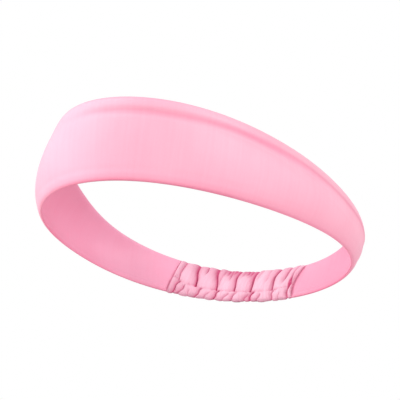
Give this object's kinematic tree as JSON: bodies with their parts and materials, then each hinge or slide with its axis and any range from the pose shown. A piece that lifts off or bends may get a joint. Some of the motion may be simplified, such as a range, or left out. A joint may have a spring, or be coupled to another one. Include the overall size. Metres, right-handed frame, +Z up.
{
  "type": "sports headband",
  "caption": "Wide stretch-knit sports headband: two-layer front band that tapers to a ruched elastic back, worn round the head to hold hair and sweat back.",
  "frame": {"origin": "middle of the band's box, at the height of its lowest edge", "axes": "+Z up along the head opening, -Y towards the wide front, +Y towards the ruched back"},
  "size_m": [0.1622, 0.2066, 0.0405],
  "materials": {
    "pink_knit": "smooth stretch jersey with a soft sheen",
    "pink_knit_lining": "the same jersey, seen from inside, matte",
    "overlock_thread": "bulky thread, matte",
    "woven_elastic": "ribbed elastic, matte",
    "sewing_thread": "fine polyester thread, slight gloss"
  },
  "bodies": {
    "front_band": {"outer_panel": "pink_knit", "inner_panel": "pink_knit_lining", "upper_edge_seam": "overlock_thread", "lower_edge_seam": "overlock_thread"},
    "ruched_back": {"back_casing": "pink_knit", "elastic_strip": "woven_elastic", "casing_seam": "sewing_thread", "right_joint_seam": "overlock_thread", "left_joint_seam": "overlock_thread", "right_tack": "sewing_thread", "left_tack": "sewing_thread"}
  },
  "joints": [
    {"name": "rear_stretch", "type": "slide", "parent": "front_band", "child": "ruched_back", "axis": [0, 1, 0], "range_m": [0, 0.02], "stiffness_N_per_m": 300}
  ]
}
